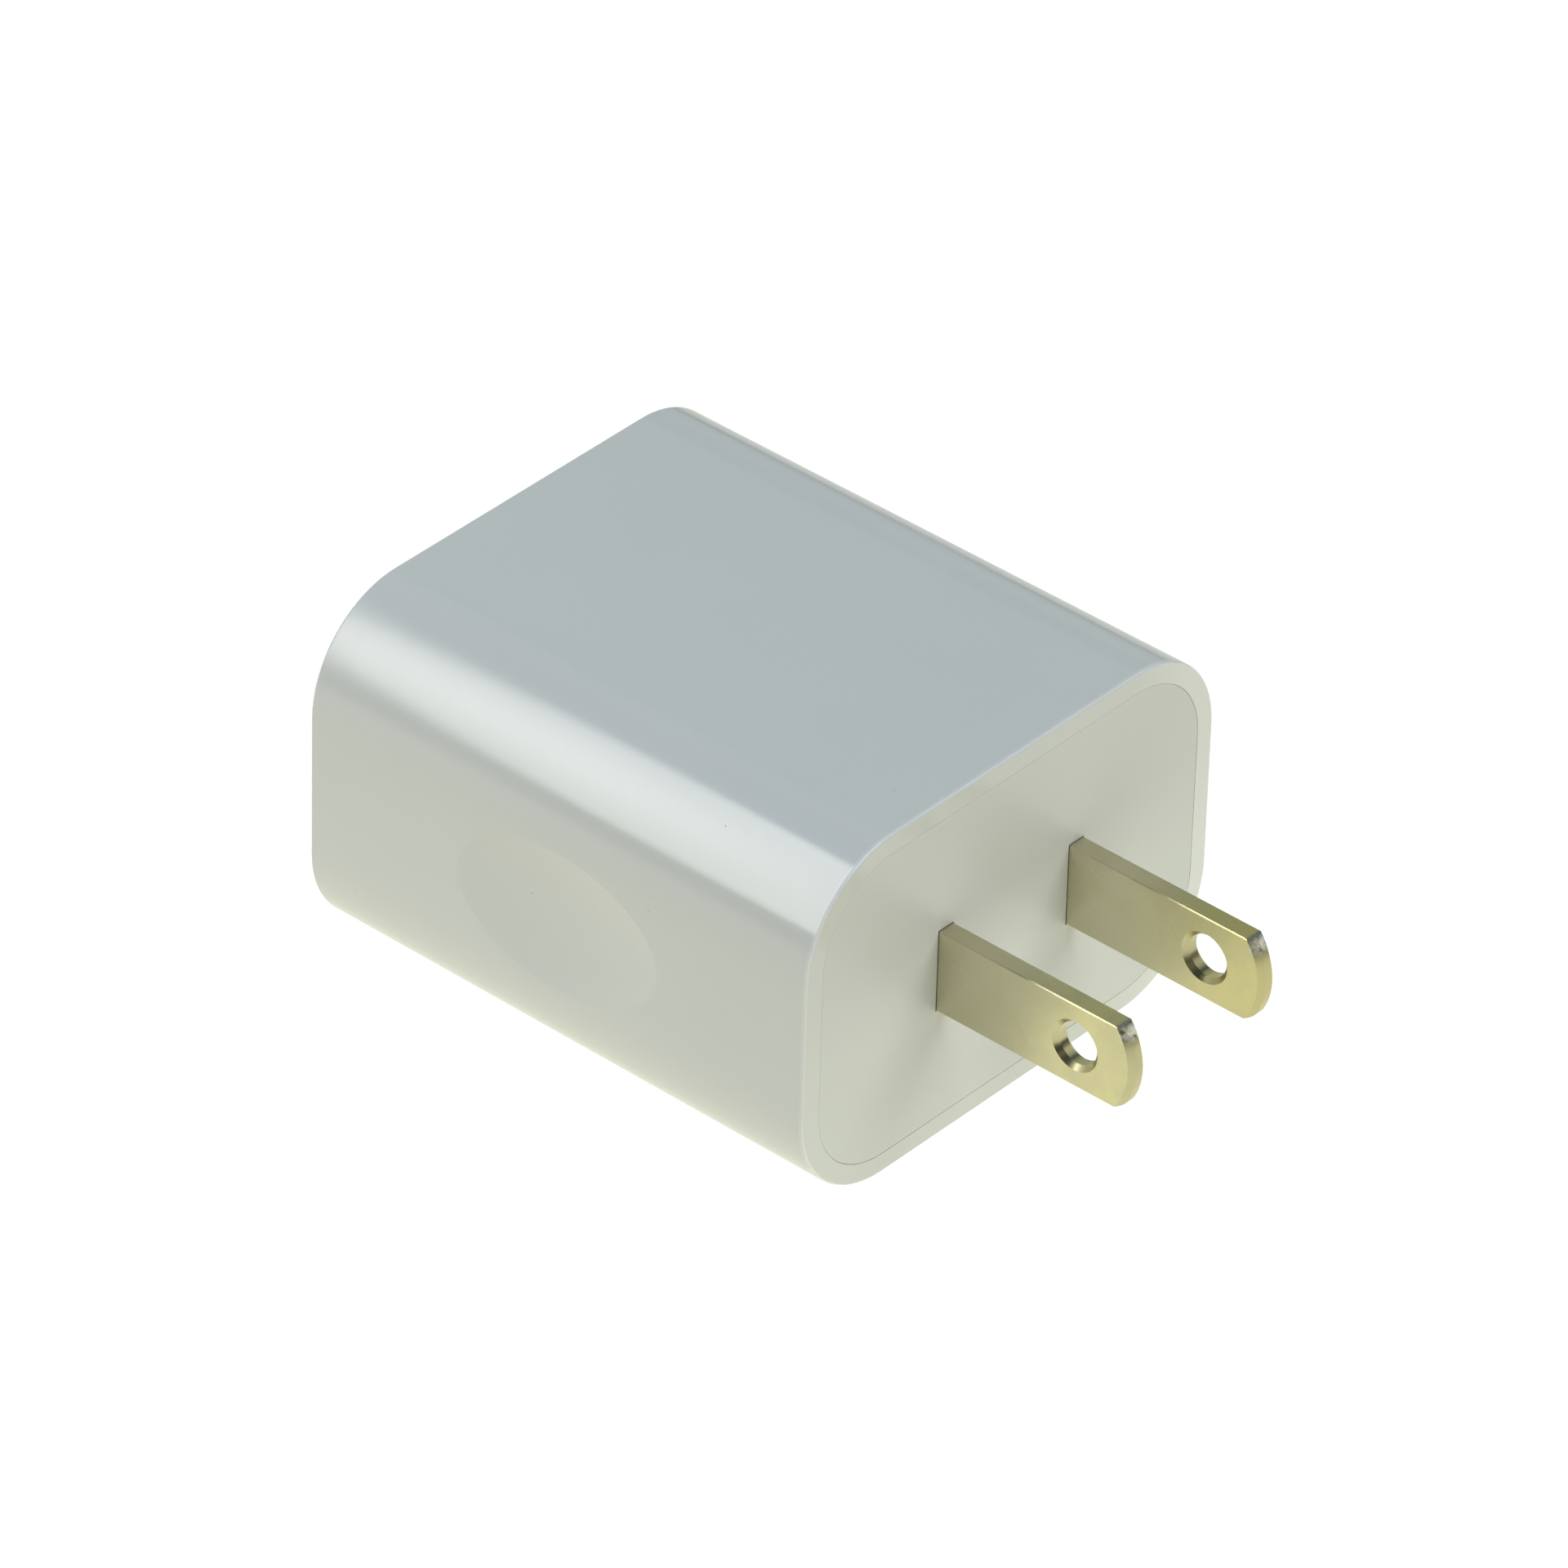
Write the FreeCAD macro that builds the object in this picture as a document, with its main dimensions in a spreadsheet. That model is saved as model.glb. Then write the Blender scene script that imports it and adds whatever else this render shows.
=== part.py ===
import FreeCAD, Part
import math
import os
import re

import Sketcher
from FreeCAD import Placement, Rotation, Vector

# A USB wall charger for North American sockets, in millimetres.
# The origin is the middle of the plug face, half way between the two blades. The blades point along +Y into
# the wall socket, the USB port faces -Y, +Z is up and +X is to the right when looking along +Y.

DIMENSIONS = {
    # case
    "body_width": 39.5,
    "body_height": 26.66,
    "body_length": 42.58,
    "body_corner": 7.95,
    "end_drop": 0.25,
    "edge_round": 0.2,
    "rim_width": 1.5,
    "wall": 1.9,
    "cap_plate": 2.2,
    "cap_skirt": 2.8,
    "skirt_wall": 1.2,
    "seam": 0.01,
    "seam_round": 0.08,
    "dimple_length": 17.2,
    "dimple_height": 10.6,
    "dimple_depth": 0.5,
    "dimple_ball": 3.0,
    # mains blades
    "blade_pitch": 12.7,
    "blade_height": 6.25,
    "blade_thick": 1.4,
    "blade_length": 16.15,
    "blade_tail": 8.2,
    "tail_height": 5.0,
    "shoulder_height": 9.0,
    "shoulder_length": 1.5,
    "tip_sag": 1.0,
    "tip_corner": 1.3,
    "tip_bevel": 0.38,
    "blade_bevel": 0.07,
    "blade_hole": 1.55,
    "blade_hole_out": 11.4,
    "hole_sink": 0.35,
    "slot_gap": 0.05,
    "boss_wall": 1.5,
    "boss_lip": 0.5,
    "boss_corner": 0.8,
    # contact strips between the blades and the board
    "strip_thick": 0.3,
    "strip_top": 1.8,
    "strip_flare": 1.6,
    "strip_back": 8.0,
    "strip_front": 5.6,
    # main board
    "board_width": 32.0,
    "board_front": 40.4,
    "board_back": 5.4,
    "board_thick": 1.6,
    "board_low": -9.2,
    "rail_out": 15.2,
    "rail_width": 1.2,
    "rail_height": 2.4,
    "holder_width": 3.0,
    "holder_thick": 1.0,
    "holder_length": 2.1,
    "slot_play": 0.1,
    "lead": 0.3,
    "lead_into": 0.5,
    "hole": 0.42,
    "solder_size": 0.85,
    "solder_height": 0.7,
    "sheet_thick": 0.25,
    "sheet_width": 23.4,
    # standing board behind the USB receptacle
    "riser_face": 28.3,
    "riser_width": 21.0,
    "riser_top": 9.4,
    "tab_width": 3.0,
    "tab_out": 8.0,
    # USB receptacle
    "usb_mouth": 42.28,
    "usb_width": 13.1,
    "usb_height": 5.72,
    "usb_skin": 0.3,
    "usb_corner": 0.9,
    "usb_gap": 0.1,
    "usb_lead_in": 0.3,
    "usb_block": 1.3,
    "tongue_width": 11.1,
    "tongue_thick": 1.84,
    "tongue_back": 4.1,
    "contact_width": 1.0,
    "contact_thick": 0.25,
    "contact_back": 0.8,
    "contact_inner": 1.0,
    "contact_outer": 3.5,
    "contact_tail": 0.6,
    "finger_width": 1.8,
    "finger_length": 5.0,
    "finger_out": 3.4,
    "finger_start": 2.4,
    "finger_gap": 0.4,
    "finger_root": 0.8,
    "finger_dip": 0.22,
    # transformer
    "coil_y": -19.1,
    "coil_z": 0.4,
    "core_width": 16.0,
    "core_depth": 5.0,
    "core_half": 7.4,
    "core_plate": 2.2,
    "core_leg": 1.9,
    "core_centre": 4.8,
    "bobbin_wall": 0.65,
    "bobbin_clear": 0.05,
    "tube_corner": 0.1,
    "flange": 0.9,
    "flange_corner": 0.8,
    "flange_width": 12.0,
    "flange_depth": 13.2,
    "foot_depth": 2.4,
    "primary_wall": 1.6,
    "tape_wall": 0.2,
    "secondary_wall": 0.75,
    "winding_gap": 0.1,
    "pin_pitch": 3.2,
    "pin_into": 1.6,
    # capacitors
    "can_bevel": 0.4,
    "neck_at": 1.9,
    "neck_width": 0.8,
    "neck_depth": 0.3,
    "bulk_x": 12.2,
    "bulk_y": -9.7,
    "bulk_round": 4.0,
    "bulk_tall": 14.0,
    "bulk_pitch": 3.5,
    "output_x": 12.0,
    "output_y": -34.3,
    "output_round": 4.0,
    "output_tall": 12.0,
    "output_pitch": 3.5,
    "disc_x": 12.6,
    "disc_y": -23.0,
    "disc_round": 3.2,
    "disc_thick": 2.8,
    "disc_edge": 0.84,
    "disc_lift": 1.0,
    "disc_pitch": 5.0,
    # choke
    "choke_x": -12.6,
    "choke_y": -18.0,
    "choke_round": 3.2,
    "choke_tall": 8.5,
    "choke_neck": 1.5,
    "choke_plate": 1.2,
    "choke_inset": 0.3,
    "choke_pitch": 4.0,
    # axial parts
    "axial_lift": 0.1,
    "fuse_y": -10.2,
    "fuse_round": 1.6,
    "fuse_long": 7.5,
    "fuse_span": 11.0,
    "snub_x": -12.4,
    "snub_y": -25.3,
    "snub_round": 1.35,
    "snub_long": 5.2,
    "snub_span": 7.6,
    "out_diode_y": -31.3,
    "out_diode_round": 1.9,
    "out_diode_long": 7.0,
    "out_diode_span": 10.4,
    # transistor and chips
    "transistor_x": 11.6,
    "transistor_y": -17.0,
    "transistor_round": 2.3,
    "transistor_flat": 1.3,
    "transistor_tall": 4.8,
    "transistor_lift": 2.0,
    "transistor_pitch": 1.27,
    "chip_lift": 0.12,
    "leg_width": 0.4,
    "leg_thick": 0.2,
    "leg_inner": 0.6,
    "long_foot": 0.9,
    "short_foot": 0.6,
    "resistor_pitch": 2.2,
    "capacitor_pitch": 2.4,
    # how far a cutting tool runs past what it cuts
    "overrun": 1.0,
}

# Width, depth and height of each moulded or ceramic package, and the place of its middle on the board.
# For a row of packages it is the place of the first one.
PACKAGE_WORDS = ("wide", "deep", "high", "x", "y")
PACKAGES = {
    "controller_chip": (3.9, 4.9, 1.4, 7.6, -19.0),
    "bridge_rectifier": (4.0, 4.7, 1.4, 0.0, -8.4),
    "optocoupler": (6.4, 4.6, 3.2, -3.8, -36.8),
    "voltage_reference": (1.3, 2.9, 1.0, 3.4, -36.8),
    "chip_resistors": (1.0, 1.6, 0.45, -9.0, -21.5),
    "chip_capacitors": (1.2, 2.0, 0.9, -6.0, -34.5),
}
for package, sizes in PACKAGES.items():
    DIMENSIONS.update({f"{package}_{word}": size for word, size in zip(PACKAGE_WORDS, sizes)})

NEAR = 0.001

doc = FreeCAD.newDocument("usb_wall_charger")
dims = doc.addObject("Spreadsheet::Sheet", "dims")
for row, (alias, size) in enumerate(DIMENSIONS.items(), 1):
    dims.set(f"A{row}", alias)
    dims.set(f"B{row}", str(size))
    dims.setAlias(f"B{row}", alias)
doc.recompute()


# ---- expressions, sketches and features ----


def link(expression):
    """Returns the expression with each dimension's name turned into a reference to its cell."""
    def with_sheet(word):
        return f"dims.{word[0]}" if word[0] in DIMENSIONS else word[0]

    return re.sub(r"[a-z_]+", with_sheet, expression)


def number(expression):
    """Returns the value that the expression has now."""
    return float(dims.evalExpression(link(expression)))


def bind(thing, **expressions):
    """Binds properties to expressions; a double underscore stands for the dot in a property's path."""
    for path, expression in expressions.items():
        thing.setExpression(path.replace("__", "."), link(expression))


def place(thing, x="0", y="0", z="0", rotation=None):
    """Puts a thing at x, y, z, and turns it first if a rotation is given."""
    if rotation:
        thing.Placement = Placement(Vector(), rotation)
    bind(thing, Placement__Base__x=x, Placement__Base__y=y, Placement__Base__z=z)
    return thing


def new_body(name):
    return doc.addObject("PartDesign::Body", name)


def new_sketch(body, plane, at="0"):
    """Makes a sketch on one of the body's origin planes, moved along that plane's axis to `at`."""
    sketch = body.newObject("Sketcher::SketchObject", f"{body.Name}_sketch")
    support = next(f for f in body.Origin.OriginFeatures if f.Role == f"{plane}_Plane")
    sketch.AttachmentSupport = [(support, "")]
    sketch.MapMode = "FlatFace"
    sign = "-1" if plane == "XZ" else "1"
    bind(sketch, AttachmentOffset__Base__z=f"{sign} * ({at})")
    return sketch


def driven(sketch, kind, *arguments, expression):
    """Adds a dimension whose value follows the expression."""
    index = sketch.addConstraint(Sketcher.Constraint(kind, *arguments, number(expression)))
    sketch.setExpression(f"Constraints[{index}]", link(expression))


def fixed(sketch, kind, *arguments):
    """Adds a constraint that has no value."""
    sketch.addConstraint(Sketcher.Constraint(kind, *arguments))


def draw_polygon(sketch, corners):
    """Draws a closed outline through the corners, each a pair of expressions."""
    points = [Vector(number(x), number(y), 0) for x, y in corners]
    first = sketch.GeometryCount
    count = len(points)
    for index in range(count):
        sketch.addGeometry(Part.LineSegment(points[index], points[(index + 1) % count]))
    for index, (x, y) in enumerate(corners):
        fixed(sketch, "Coincident", first + index, 2, first + (index + 1) % count, 1)
        driven(sketch, "DistanceX", -1, 1, first + index, 1, expression=x)
        driven(sketch, "DistanceY", -1, 1, first + index, 1, expression=y)


def draw_rectangle(sketch, width, height, x="0", y="0"):
    """Draws a sharp rectangle centred at x, y."""
    left, right = f"{x} - ({width}) / 2", f"{x} + ({width}) / 2"
    low, high = f"{y} - ({height}) / 2", f"{y} + ({height}) / 2"
    draw_polygon(sketch, [(left, low), (right, low), (right, high), (left, high)])


def draw_rounded(sketch, width, height, radius, x="0", y="0"):
    """Draws a rectangle with round corners, centred at x, y."""
    half_x, half_y, r = number(f"({width}) / 2"), number(f"({height}) / 2"), number(radius)
    centre = Vector(number(x), number(y), 0)
    first = sketch.GeometryCount
    corners = [Vector(half_x - r, half_y - r, 0), Vector(r - half_x, half_y - r, 0)]
    corners += [-corners[0], -corners[1]]
    quarter = math.pi / 2
    arcs = []
    for index, corner in enumerate(corners):
        circle = Part.Circle(centre + corner, Vector(0, 0, 1), r)
        arcs.append(Part.ArcOfCircle(circle, index * quarter, (index + 1) * quarter))
        sketch.addGeometry(arcs[-1])
    for index in range(4):
        sketch.addGeometry(Part.LineSegment(arcs[index].EndPoint, arcs[(index + 1) % 4].StartPoint))
    for index in range(4):
        side = first + 4 + index
        fixed(sketch, "Tangent", first + index, 2, side, 1)
        fixed(sketch, "Tangent", side, 2, first + (index + 1) % 4, 1)
        fixed(sketch, "Vertical" if index % 2 else "Horizontal", side)
        if index:
            fixed(sketch, "Equal", first, first + index)
    driven(sketch, "Radius", first, expression=radius)
    driven(sketch, "DistanceX", first + 1, 3, first, 3, expression=f"{width} - 2 * ({radius})")
    driven(sketch, "DistanceY", first + 3, 3, first, 3, expression=f"{height} - 2 * ({radius})")
    driven(sketch, "DistanceX", -1, 1, first, 3, expression=f"{x} + ({width}) / 2 - ({radius})")
    driven(sketch, "DistanceY", -1, 1, first, 3, expression=f"{y} + ({height}) / 2 - ({radius})")


def draw_circle(sketch, radius, x="0", y="0"):
    index = sketch.addGeometry(Part.Circle(Vector(number(x), number(y), 0), Vector(0, 0, 1), number(radius)))
    driven(sketch, "Radius", index, expression=radius)
    driven(sketch, "DistanceX", -1, 1, index, 3, expression=x)
    driven(sketch, "DistanceY", -1, 1, index, 3, expression=y)


def extrude(body, kind, sketch, length, toward, both=False):
    """Adds a Pad or a Pocket of the sketch that runs toward +1 or -1 along the sketch plane's axis."""
    feature = body.newObject(f"PartDesign::{kind}", f"{body.Name}_{kind}")
    feature.Profile = (sketch, [""])
    normal = -1 if "XZ" in sketch.AttachmentSupport[0][0].Role else 1
    feature.Reversed = (toward != normal) if kind == "Pad" else (toward == normal)
    if both:
        feature.SideType = "Symmetric"
    bind(feature, Length=length)
    sketch.Visibility = False
    return feature


def revolve(body, sketch):
    """Turns the sketch once round its own vertical axis."""
    feature = body.newObject("PartDesign::Revolution", f"{body.Name}_turn")
    feature.Profile = (sketch, [""])
    feature.ReferenceAxis = (sketch, ["V_Axis"])
    feature.Angle = 360
    return feature


def dress(body, kind, size, chosen):
    """Adds a Fillet or Chamfer to the edges of the body's last feature for which chosen(edge) is true."""
    doc.recompute()
    base = body.Tip
    names = [f"Edge{n}" for n, edge in enumerate(base.Shape.Edges, 1) if chosen(edge)]
    feature = body.newObject(f"PartDesign::{kind}", f"{body.Name}_{kind}")
    feature.Base = (base, names)
    bind(feature, **{"Radius" if kind == "Fillet" else "Size": size})
    return feature


def near_axis(edge, far_x, far_z):
    """True if the whole edge is nearer to the Y axis than far_x and far_z."""
    bounds = edge.BoundBox
    return max(-bounds.XMin, bounds.XMax) < far_x and max(-bounds.ZMin, bounds.ZMax) < far_z


def lies_at(axis, value):
    """Makes a test for edges that lie in the plane where that axis ('x', 'y' or 'z') has the value."""
    low, high = f"{axis.upper()}Min", f"{axis.upper()}Max"

    def test(edge):
        box = edge.BoundBox
        return abs(getattr(box, low) - value) < NEAR and abs(getattr(box, high) - value) < NEAR

    return test


# ---- Part primitives ----


def box(name, size, low):
    """Makes a block with the given size, its lowest corner at `low`."""
    block = doc.addObject("Part::Box", name)
    bind(block, Length=size[0], Width=size[1], Height=size[2])
    return place(block, *low)


def plate(name, size, x="0", y="0", z="0"):
    """Makes a block centred on x, y, standing on z."""
    return box(name, size, (f"{x} - ({size[0]}) / 2", f"{y} - ({size[1]}) / 2", z))


def rod(name, radius, length, x="0", y="0", z="0", rotation=None):
    """Makes a cylinder that starts at x, y, z and runs up, or along its own turned axis."""
    cylinder = doc.addObject("Part::Cylinder", name)
    bind(cylinder, Radius=radius, Height=length)
    return place(cylinder, x, y, z, rotation)


def ball(name, radius, x, y, z):
    sphere = doc.addObject("Part::Sphere", name)
    bind(sphere, Radius=radius)
    return place(sphere, x, y, z)


def join(name, pieces):
    fused = doc.addObject("Part::MultiFuse", name)
    fused.Shapes = pieces
    fused.Refine = True
    return fused


def group(name, pieces):
    """Keeps several separate solids in one node."""
    compound = doc.addObject("Part::Compound", name)
    compound.Links = pieces
    return compound


def cut(name, base, tools):
    result = doc.addObject("Part::Cut", name)
    result.Base = base
    result.Tool = tools[0] if len(tools) == 1 else group(f"{name}_tools", tools)
    return result


TO_RIGHT = Rotation(Vector(0, 1, 0), 90)
TO_BACK = Rotation(Vector(1, 0, 0), -90)
BOARD_TOP = "board_low + board_thick"

# Where each part's leads go through the main board: pairs of expressions for x and y.
LEADS = {
    "left_bulk_capacitor": [("-bulk_x", f"bulk_y {s} bulk_pitch / 2") for s in "+-"],
    "right_bulk_capacitor": [("bulk_x", f"bulk_y {s} bulk_pitch / 2") for s in "+-"],
    "left_output_capacitor": [("-output_x", f"output_y {s} output_pitch / 2") for s in "+-"],
    "right_output_capacitor": [("output_x", f"output_y {s} output_pitch / 2") for s in "+-"],
    "safety_capacitor": [("disc_x", f"disc_y {s} disc_pitch / 2") for s in "+-"],
    "choke_core": [("choke_x", f"choke_y {s} choke_pitch / 2") for s in "+-"],
    "fuse_resistor": [(f"{s}fuse_span / 2", "fuse_y") for s in "+-"],
    "snubber_diode": [("snub_x", f"snub_y {s} snub_span / 2") for s in "+-"],
    "output_diode": [(f"{s}out_diode_span / 2", "out_diode_y") for s in "+-"],
    "power_transistor": [("transistor_x", f"transistor_y + {n} * transistor_pitch") for n in (-1, 0, 1)],
    "transformer_pins": [
        (f"{column} * pin_pitch", f"coil_y {s} (flange_depth - foot_depth) / 2")
        for s in "+-"
        for column in (-1.5, -0.5, 0.5, 1.5)
    ],
}


def leads(node, top):
    """Makes a node's straight leads, from the underside of the board up to `top`."""
    return [
        rod(f"{node}_lead", "lead", f"{top} - board_low", x, y, "board_low")
        for x, y in LEADS[node]
    ]


# ---- case ----


def make_case_shell():
    """A drafted tube with round corners, closed at the USB end, with a rebate for the cap at the plug end."""
    body = new_body("case_shell")
    back = new_sketch(body, "XZ")
    draw_rounded(back, "body_width", "body_height", "body_corner")
    front = new_sketch(body, "XZ", "-body_length")
    draw_rounded(front, "body_width - end_drop", "body_height - end_drop", "body_corner - end_drop / 2")
    loft = body.newObject("PartDesign::AdditiveLoft", "case_shell_loft")
    loft.Profile = (back, [""])
    loft.Sections = [(front, [""])]
    loft.Ruled = True
    length = number("body_length")
    dress(body, "Fillet", "edge_round", lambda e: lies_at("y", 0)(e) or lies_at("y", -length)(e))

    rebate = new_sketch(body, "XZ")
    play = "2 * rim_width"
    draw_rounded(rebate, f"body_width - {play}", f"body_height - {play}", "body_corner - rim_width")
    extrude(body, "Pocket", rebate, "cap_plate", -1)
    cavity = new_sketch(body, "XZ")
    draw_rounded(cavity, "body_width - 2 * wall", "body_height - 2 * wall", "body_corner - wall")
    extrude(body, "Pocket", cavity, "body_length - wall", -1)

    rails = new_sketch(body, "XZ", "wall - body_length")
    rail_z = "board_low - rail_height / 2"
    for side in ("-1", "1"):
        draw_rectangle(rails, "rail_width", "rail_height", f"{side} * rail_out", rail_z)
    extrude(body, "Pad", rails, "body_length - wall - board_back", 1)
    holders = new_sketch(body, "XZ", "wall - body_length")
    for side in ("-1", "1"):
        middle = f"{side} * (board_width + holder_thick) / 2"
        draw_rectangle(holders, "holder_width", "holder_thick", middle, f"{BOARD_TOP} + holder_thick / 2")
    extrude(body, "Pad", holders, "holder_length", 1)

    port = new_sketch(body, "XZ", "-body_length")
    draw_rounded(port, "usb_width + 2 * usb_gap", "usb_height + 2 * usb_gap", "usb_corner + usb_gap")
    extrude(body, "Pocket", port, "wall", 1)
    at_end, reach = lies_at("y", -length), (number("usb_width"), number("usb_height"))
    dress(body, "Chamfer", "usb_lead_in", lambda e: at_end(e) and near_axis(e, *reach))

    for side in (-1, 1):
        scoop = body.newObject("PartDesign::SubtractiveEllipsoid", "case_shell_dimple")
        open_share = "sqrt(1 - (1 - dimple_depth / dimple_ball) ^ 2)"
        bind(scoop, Radius1=f"dimple_height / 2 / {open_share}", Radius2="dimple_ball",
             Radius3=f"dimple_length / 2 / {open_share}")
        wall_out = "body_width / 2 - end_drop / 4"
        place(scoop, f"{side} * ({wall_out} + dimple_ball - dimple_depth)", "-body_length / 2")
    return body


def make_plug_cap():
    """The plate that closes the plug end, with a skirt inside the case and a boss round each blade."""
    body = new_body("plug_cap")
    face = new_sketch(body, "XZ")
    play = "2 * (rim_width + seam)"
    draw_rounded(face, f"body_width - {play}", f"body_height - {play}", "body_corner - rim_width - seam")
    extrude(body, "Pad", face, "cap_plate", -1)
    dress(body, "Fillet", "seam_round", lies_at("y", 0))

    skirt = new_sketch(body, "XZ", "-cap_plate")
    for inset in ("wall + seam", "wall + seam + skirt_wall"):
        play = f"2 * ({inset})"
        draw_rounded(skirt, f"body_width - {play}", f"body_height - {play}", f"body_corner - ({inset})")
    extrude(body, "Pad", skirt, "cap_skirt", -1)
    bosses = new_sketch(body, "XZ", "-cap_plate")
    for side in ("-1", "1"):
        draw_rounded(bosses, "blade_thick + 2 * boss_wall", "shoulder_height + 2 * boss_wall", "boss_corner",
                     f"{side} * blade_pitch / 2")
    extrude(body, "Pad", bosses, "shoulder_length + boss_lip", -1)

    seats = new_sketch(body, "XZ", "-cap_plate - shoulder_length - boss_lip")
    slots = new_sketch(body, "XZ")
    for side in ("-1", "1"):
        middle = f"{side} * blade_pitch / 2"
        draw_rectangle(seats, "blade_thick + 2 * slot_gap", "shoulder_height + 2 * slot_gap", middle)
        draw_rectangle(slots, "blade_thick + 2 * slot_gap", "blade_height + 2 * slot_gap", middle)
    extrude(body, "Pocket", seats, "shoulder_length + boss_lip", 1)
    extrude(body, "Pocket", slots, "cap_plate", -1)
    return body


TIP_SWEEP = 140


def draw_tip_corner(body, centre_y, centre_z, angle, mirror):
    """Cuts the outside of one rounded corner off a blade's tip."""
    sketch = new_sketch(body, "YZ")
    radius, turn = number("tip_corner"), math.radians(number(angle))
    centre = Vector(number(centre_y), mirror * number(centre_z), 0)
    first, last = sorted((mirror * turn, mirror * math.pi / 2))
    arc = Part.ArcOfCircle(Part.Circle(centre, Vector(0, 0, 1), radius), first, last)
    on_tip, on_side = (arc.StartPoint, arc.EndPoint) if mirror > 0 else (arc.EndPoint, arc.StartPoint)
    far_y, far_z = number("blade_length + overrun"), mirror * number("blade_height / 2 + overrun")
    path = [on_side, Vector(on_side.x, far_z, 0), Vector(far_y, far_z, 0), Vector(far_y, on_tip.y, 0), on_tip]
    sketch.addGeometry(arc)
    for begin, finish in zip(path, path[1:]):
        sketch.addGeometry(Part.LineSegment(begin, finish))
    tip_end, side_end = (1, 2) if mirror > 0 else (2, 1)
    fixed(sketch, "Coincident", 0, side_end, 1, 1)
    for index in (1, 2, 3):
        fixed(sketch, "Coincident", index, 2, index + 1, 1)
        fixed(sketch, "Horizontal" if index == 2 else "Vertical", index)
    fixed(sketch, "Horizontal", 4)
    fixed(sketch, "Coincident", 4, 2, 0, tip_end)
    driven(sketch, "DistanceX", -1, 1, 0, 3, expression=centre_y)
    driven(sketch, "DistanceY", -1, 1, 0, 3, expression=f"{mirror} * ({centre_z})")
    driven(sketch, "Radius", 0, expression="tip_corner")
    driven(sketch, "DistanceX", -1, 1, 3, 1, expression="blade_length + overrun")
    driven(sketch, "DistanceY", -1, 1, 2, 1, expression=f"{mirror} * (blade_height / 2 + overrun)")
    fixed(sketch, "Vertical", 0, side_end, 0, 3)
    driven(sketch, "DistanceY", 0, 3, 0, tip_end, expression=f"{mirror} * tip_corner * sin({angle})")
    return extrude(body, "Pocket", sketch, "blade_thick * 2", 1, both=True)


def make_blade(name, side):
    """A flat mains blade: curved tip, countersunk hole, and a shoulder and tail inside the cap."""
    body = new_body(name)
    section = new_sketch(body, "XZ", "blade_length")
    half_x, half_z = "blade_thick / 2", "blade_height / 2"
    bevelled = [(half_x, f"{half_z} - blade_bevel"), (f"{half_x} - blade_bevel", half_z)]
    mirrored = [(f"-1 * ({x})", z) for x, z in reversed(bevelled)]
    upper = bevelled + mirrored
    lower = [(x, f"-1 * ({z})") for x, z in reversed(upper)]
    draw_polygon(section, upper + lower)
    extrude(body, "Pad", section, "blade_length + cap_plate", -1)

    # the tip is an arc in side view, with a conical bevel on both faces
    tip_radius = "(blade_height ^ 2 / 4 + tip_sag ^ 2) / (2 * tip_sag)"
    beyond = new_sketch(body, "XY")
    bind(beyond, AttachmentOffset__Base__y=f"blade_length - {tip_radius}")
    beside = f"{half_x} + tip_bevel"
    profile = [(beside, f"{tip_radius} + {half_z}"), (beside, f"{tip_radius} - 2 * tip_bevel"),
               (f"{half_x} - tip_bevel", tip_radius)]
    draw_polygon(beyond, profile + [(f"-1 * ({x})", y) for x, y in reversed(profile)])
    groove = body.newObject("PartDesign::Groove", f"{name}_tip")
    groove.Profile = (beyond, [""])
    groove.ReferenceAxis = (beyond, ["H_Axis"])
    groove.Angle = TIP_SWEEP
    groove.Midplane = True

    # its two corners are rounded by arcs that touch the sides and the tip arc
    arm = f"sqrt(({tip_radius} - tip_corner) ^ 2 - ({half_z} - tip_corner) ^ 2)"
    centre_y, centre_z = f"blade_length - {tip_radius} + {arm}", f"{half_z} - tip_corner"
    for mirror in (1, -1):
        draw_tip_corner(body, centre_y, centre_z, f"atan2({centre_z}; {arm})", mirror)

    hole = new_sketch(body, "YZ")
    draw_circle(hole, "blade_hole", "blade_hole_out")
    extrude(body, "Pocket", hole, "blade_thick * 2", 1, both=True)
    radius = number("blade_hole")

    def on_rim(edge):
        return isinstance(edge.Curve, Part.Circle) and abs(edge.Curve.Radius - radius) < NEAR

    dress(body, "Chamfer", "hole_sink", on_rim)

    inside = new_sketch(body, "YZ")
    draw_rectangle(inside, "shoulder_length", "shoulder_height", "-cap_plate - shoulder_length / 2")
    extrude(body, "Pad", inside, "blade_thick", 1, both=True)
    tail = new_sketch(body, "YZ")
    tail_start = "cap_plate + shoulder_length"
    draw_rectangle(tail, f"blade_tail - ({tail_start})", "tail_height", f"-(blade_tail + {tail_start}) / 2")
    extrude(body, "Pad", tail, "blade_thick", 1, both=True)
    return place(body, f"{side} * blade_pitch / 2")


def make_contact_strip(name, side):
    """A springy strip that stands in the board and presses on the outer face of a blade's tail."""
    body = new_body(name)
    profile = new_sketch(body, "XZ", "-strip_front")
    inner = "(blade_pitch + blade_thick) / 2"
    outer = f"{inner} + strip_thick"
    draw_polygon(profile, [
        (f"{side} * ({inner})", "board_low"),
        (f"{side} * ({outer})", "board_low"),
        (f"{side} * ({outer})", "strip_top"),
        (f"{side} * ({outer} + strip_flare / 2)", "strip_top + strip_flare"),
        (f"{side} * ({inner} + strip_flare / 2)", "strip_top + strip_flare"),
        (f"{side} * ({inner})", "strip_top"),
    ])
    extrude(body, "Pad", profile, "strip_back - strip_front", -1)
    return body


# ---- boards ----


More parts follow.
